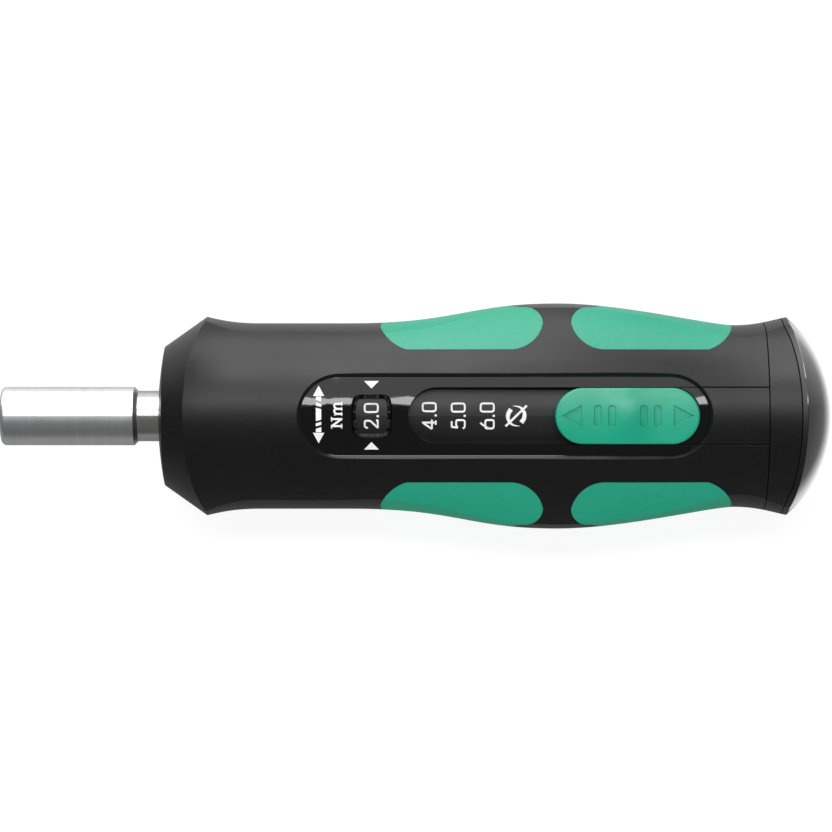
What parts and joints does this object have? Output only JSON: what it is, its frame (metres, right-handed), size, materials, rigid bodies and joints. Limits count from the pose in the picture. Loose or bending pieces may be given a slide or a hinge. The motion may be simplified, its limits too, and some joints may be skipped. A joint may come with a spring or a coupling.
{
  "type": "torque screwdriver",
  "caption": "Adjustable torque screwdriver with a bit holder sleeve, a push slider beside a scale panel, soft grip zones and a domed end.",
  "frame": {"origin": "on the tool's axis at the centre of the bit holder's mouth", "axes": "+X along the axis from the mouth to the domed end, +Z out of the broad face with the scale, +Y to the left looking along +X"},
  "size_m": [0.147, 0.04, 0.0304],
  "materials": {
    "black_shell": "fine spark-eroded black plastic",
    "black_dome": "smooth black plastic",
    "green_grip": "soft matt green grip zone",
    "green_button": "satin green plastic",
    "dark_scale": "dark plastic with white print",
    "satin_sleeve": "satin turned stainless steel",
    "turned_steel": "bright turned steel",
    "hard_steel": "ground hardened steel",
    "spring_steel": "blued spring steel",
    "magnet": "nickel-plated magnet",
    "bearing_brass": "turned brass",
    "cast_frame": "pressed-in light alloy casting",
    "slide_plastic": "glass-filled black plastic",
    "black_screw": "blackened steel screws"
  },
  "bodies": {
    "handle": {"handle_body": "black_shell", "slot_closer": "black_shell", "end_ring": "black_shell", "end_dome": "black_dome", "grip_scale_front_left": "green_grip", "grip_scale_front_right": "green_grip", "grip_scale_rear_left": "green_grip", "grip_scale_rear_right": "green_grip", "grip_back_front_left": "green_grip", "grip_back_front_right": "green_grip", "grip_back_rear_left": "green_grip", "grip_back_rear_right": "green_grip", "front_bush": "bearing_brass", "thrust_washer": "turned_steel", "clutch_frame": "cast_frame", "torque_leaf_left": "spring_steel", "torque_leaf_right": "spring_steel", "spring_anchor": "turned_steel", "leaf_clamp_screws": "black_screw", "calibration_screw": "turned_steel", "end_screws": "black_screw"},
    "drive": {"spindle": "turned_steel", "bit_holder_sleeve": "satin_sleeve", "bit_retaining_ring": "spring_steel", "bit_magnet": "magnet", "spindle_circlip": "spring_steel", "lock_hub": "turned_steel", "detent_cam": "hard_steel"},
    "selector": {"selector_button": "green_button", "scale_strip": "dark_scale", "selector_carriage": "slide_plastic", "click_spring": "spring_steel"},
    "detent_left": {"detent_roller_left": "hard_steel", "detent_plunger_left": "hard_steel"},
    "detent_right": {"detent_roller_right": "hard_steel", "detent_plunger_right": "hard_steel"}
  },
  "joints": [
    {"name": "spindle_spin", "type": "hinge", "parent": "handle", "child": "drive", "pos_m": [0, 0, 0], "axis": [1, 0, 0], "continuous": true},
    {"name": "selector_slide", "type": "slide", "parent": "handle", "child": "selector", "axis": [-1, 0, 0], "range_m": [0, 0.02525], "deforming": ["click_spring"]},
    {"name": "detent_left_lift", "type": "slide", "parent": "handle", "child": "detent_left", "axis": [0, 1, 0], "range_m": [0, 0.00101], "stiffness_N_per_m": 2000, "deforming": ["torque_leaf_left"]},
    {"name": "detent_right_lift", "type": "slide", "parent": "handle", "child": "detent_right", "axis": [0, -1, 0], "range_m": [0, 0.00101], "stiffness_N_per_m": 2000, "deforming": ["torque_leaf_right"]}
  ]
}
